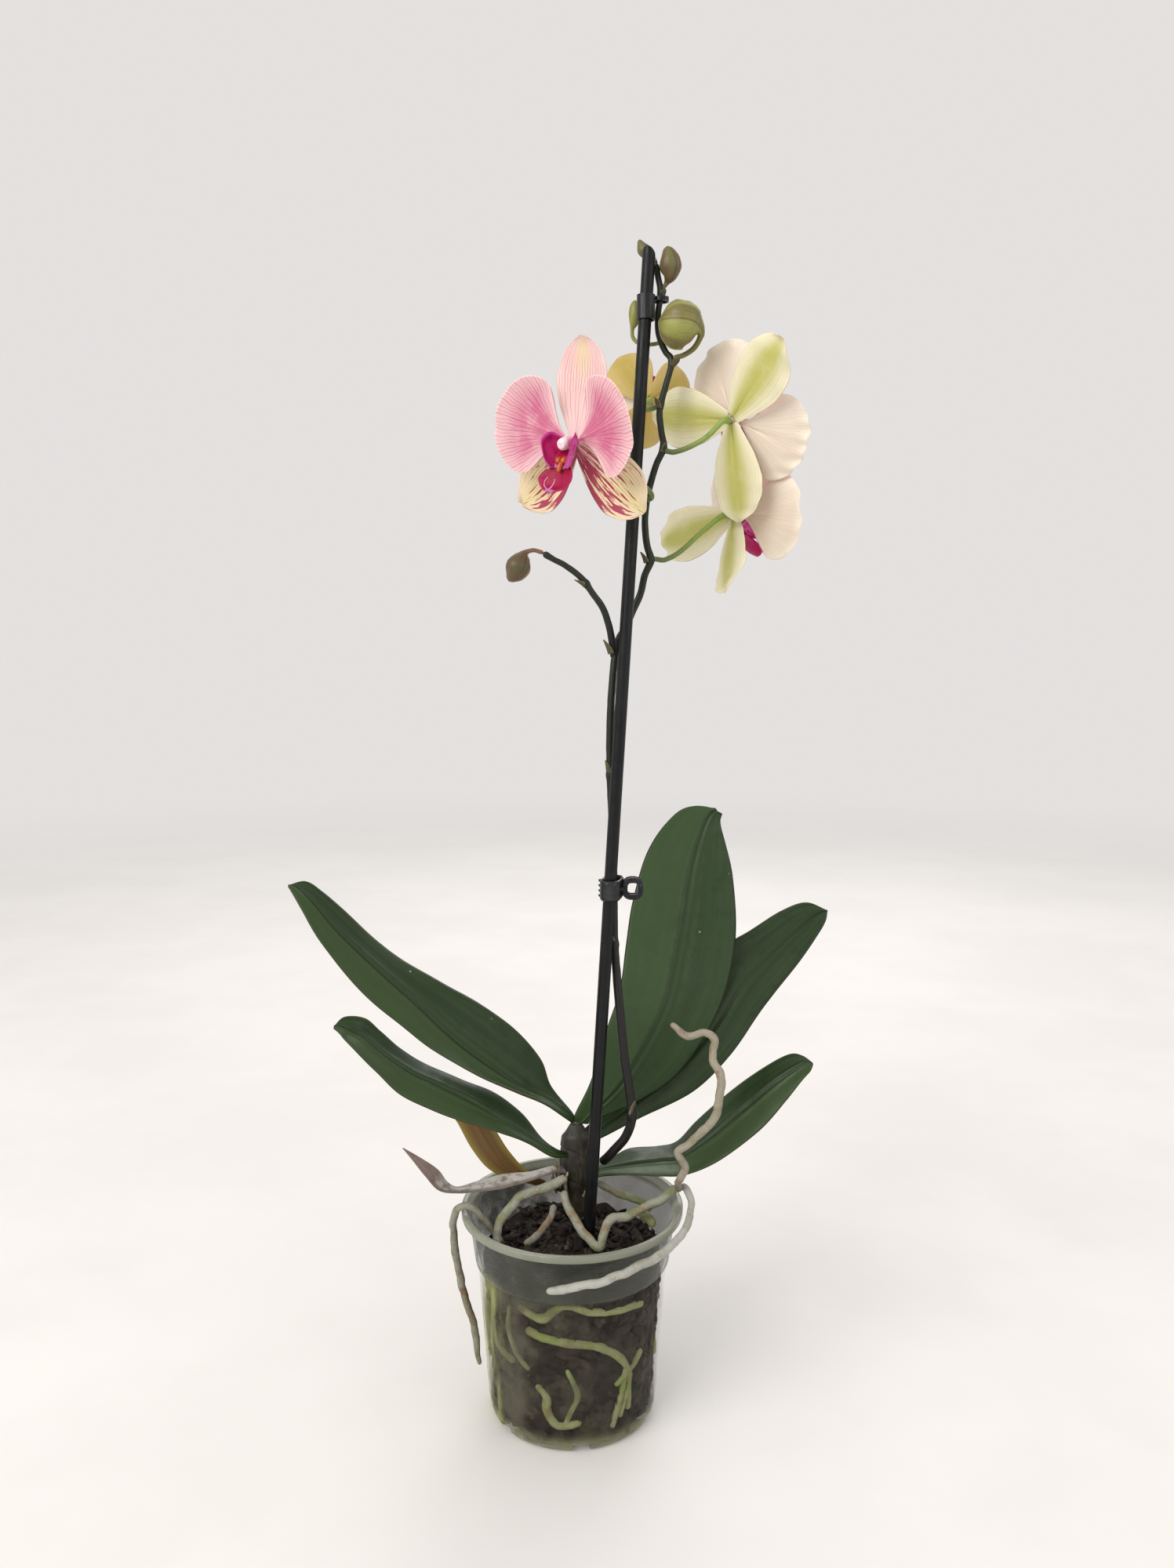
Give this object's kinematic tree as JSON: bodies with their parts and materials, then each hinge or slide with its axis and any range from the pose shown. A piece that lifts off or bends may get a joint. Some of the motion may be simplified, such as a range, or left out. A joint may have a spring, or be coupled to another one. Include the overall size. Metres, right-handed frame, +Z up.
{
  "type": "potted moth orchid",
  "caption": "Moth orchid in a clear grower's pot: strap leaves, staked arching spike with open flowers and buds, aerial roots over the rim, bark fill.",
  "frame": {"origin": "middle of the pot's underside, on the surface it stands on", "axes": "+Z up along the pot; -Y is the front, the side towards which the front flower opens; +X is to the right seen from the front"},
  "size_m": [0.306, 0.1426, 0.6195],
  "materials": {
    "clear_plastic": "clouded, smoky grey-green see-through plastic, satin",
    "bark": "damp dark bark chips, rough",
    "black_stake": "black coated rod, satin",
    "clip_plastic": "dark smoky plastic, glossy",
    "leaf_green": null,
    "old_leaf": null,
    "dry_leaf": "dried grey-brown leaf, papery",
    "crown_green": "dark green-brown leaf bases, dull",
    "stem_green": "dark green to purple-black stem, satin",
    "petal_pink": null,
    "sepal_green": null,
    "lip_magenta": null,
    "bud_green": "smooth green-brown bud, satin",
    "root_grey": "silvery grey-green velamen, matt",
    "root_green": "moist green root, satin"
  },
  "bodies": {
    "root": {"bark_medium": "bark", "bud_branch": "bud_green", "bud_large": "bud_green", "bud_left": "bud_green", "bud_tip": "bud_green", "bud_upper": "bud_green", "clip_lower": "clip_plastic", "clip_upper": "clip_plastic", "crown_stem": "crown_green", "flower_front_column": "stem_green", "flower_front_dorsal_sepal": "petal_pink", "flower_front_left_petal": "petal_pink", "flower_front_left_sepal": "petal_pink", "flower_front_lip": "lip_magenta", "flower_front_right_petal": "petal_pink", "flower_front_right_sepal": "petal_pink", "flower_lower_right_column": "stem_green", "flower_lower_right_dorsal_sepal": "sepal_green", "flower_lower_right_left_petal": "petal_pink", "flower_lower_right_left_sepal": "sepal_green", "flower_lower_right_lip": "lip_magenta", "flower_lower_right_right_petal": "petal_pink", "flower_lower_right_right_sepal": "sepal_green", "flower_rear_column": "stem_green", "flower_rear_dorsal_sepal": "sepal_green", "flower_rear_left_petal": "petal_pink", "flower_rear_left_sepal": "sepal_green", "flower_rear_lip": "lip_magenta", "flower_rear_right_petal": "petal_pink", "flower_rear_right_sepal": "sepal_green", "flower_spike": "stem_green", "flower_upper_right_column": "stem_green", "flower_upper_right_dorsal_sepal": "sepal_green", "flower_upper_right_left_petal": "petal_pink", "flower_upper_right_left_sepal": "sepal_green", "flower_upper_right_lip": "lip_magenta", "flower_upper_right_right_petal": "petal_pink", "flower_upper_right_right_sepal": "sepal_green", "leaf_dry": "dry_leaf", "leaf_low_right": "leaf_green", "leaf_lower_left": "leaf_green", "leaf_old": "old_leaf", "leaf_rear_right": "leaf_green", "leaf_upper_left": "leaf_green", "leaf_upright": "leaf_green", "pot": "clear_plastic", "root_arch": "root_grey", "root_brown": "root_grey", "root_climbing": "root_grey", "root_grey_right": "root_grey", "root_hanging_left": "root_grey", "root_over_rim": "root_grey", "root_stub": "root_green", "root_zigzag": "root_grey", "side_branch": "stem_green", "stake": "black_stake", "wall_root_left": "root_green", "wall_root_low": "root_green", "wall_root_middle": "root_green", "wall_root_upper": "root_green"}
  },
  "joints": []
}
